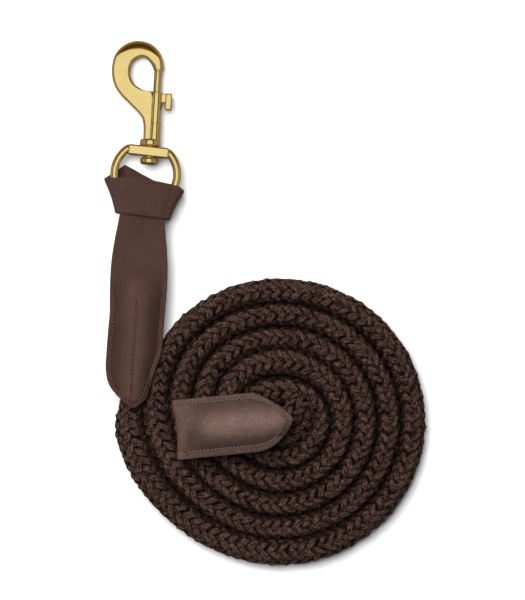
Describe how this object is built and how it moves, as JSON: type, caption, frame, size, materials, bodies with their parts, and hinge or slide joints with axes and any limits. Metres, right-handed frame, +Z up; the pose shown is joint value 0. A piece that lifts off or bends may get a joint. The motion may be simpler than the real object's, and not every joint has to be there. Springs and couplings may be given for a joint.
{
  "type": "lead rope",
  "caption": "Braided lead rope coiled flat, with a stitched leather clip end holding a swivel bolt snap and a pointed leather cap on the free end.",
  "frame": {"origin": "middle of the footprint of the whole lead rope, on the table that it lies on", "axes": "+Z up from the table, +Y from the coil's centre towards the snap, +X to the right of that"},
  "size_m": [0.197, 0.321, 0.0386],
  "materials": {
    "rope": "braided dark brown polyester yarn, matt",
    "rope_core": "undyed core yarns",
    "leather": "smooth dark brown leather with a soft sheen",
    "thread": "waxed brown thread",
    "brass": "polished yellow brass",
    "spring_steel": "bright wire"
  },
  "bodies": {
    "coil": {"rope_coil": "rope", "rope_coil_core": "rope_core"},
    "lead_end": {"rope_lead": "rope", "rope_lead_core": "rope_core", "rope_lead_whipping": "thread", "clip_strap": "leather", "clip_collar": "leather", "clip_edge_seam": "thread", "clip_middle_seam": "thread", "collar_seam": "thread"},
    "ring": {"swivel_ring": "brass"},
    "snap": {"hook_body": "brass", "swivel_rivet": "brass", "bolt_spring": "spring_steel"},
    "bolt": {"snap_bolt": "brass", "thumb_lever": "brass"},
    "tail_end": {"rope_tail": "rope", "rope_tail_core": "rope_core", "rope_tail_whipping": "thread", "end_cap": "leather", "end_cap_seam": "thread"}
  },
  "joints": [
    {"name": "lead_lift", "type": "hinge", "parent": "coil", "child": "lead_end", "pos_m": [-0.0805, -0.07884, 0.0161], "axis": [1, 0, 0], "range_deg": [0, 80]},
    {"name": "ring_tilt", "type": "hinge", "parent": "lead_end", "child": "ring", "pos_m": [-0.07262, 0.06249, 0.01102], "axis": [1, 0, 0], "range_deg": [-10, 10]},
    {"name": "snap_swivel", "type": "hinge", "parent": "ring", "child": "snap", "pos_m": [-0.07003, 0.09821, 0.00865], "axis": [0.0576, 0.9961, -0.0662], "continuous": true},
    {"name": "bolt_slide", "type": "slide", "parent": "snap", "child": "bolt", "axis": [-0.0576, -0.9961, 0.0662], "range_m": [0, 0.011], "stiffness_N_per_m": 400, "springref_m": -0.004, "deforming": ["bolt_spring"]},
    {"name": "tail_lift", "type": "hinge", "parent": "coil", "child": "tail_end", "pos_m": [0.02297, -0.07251, 0.0282], "axis": [0, 1, 0], "range_deg": [0, 80]}
  ]
}
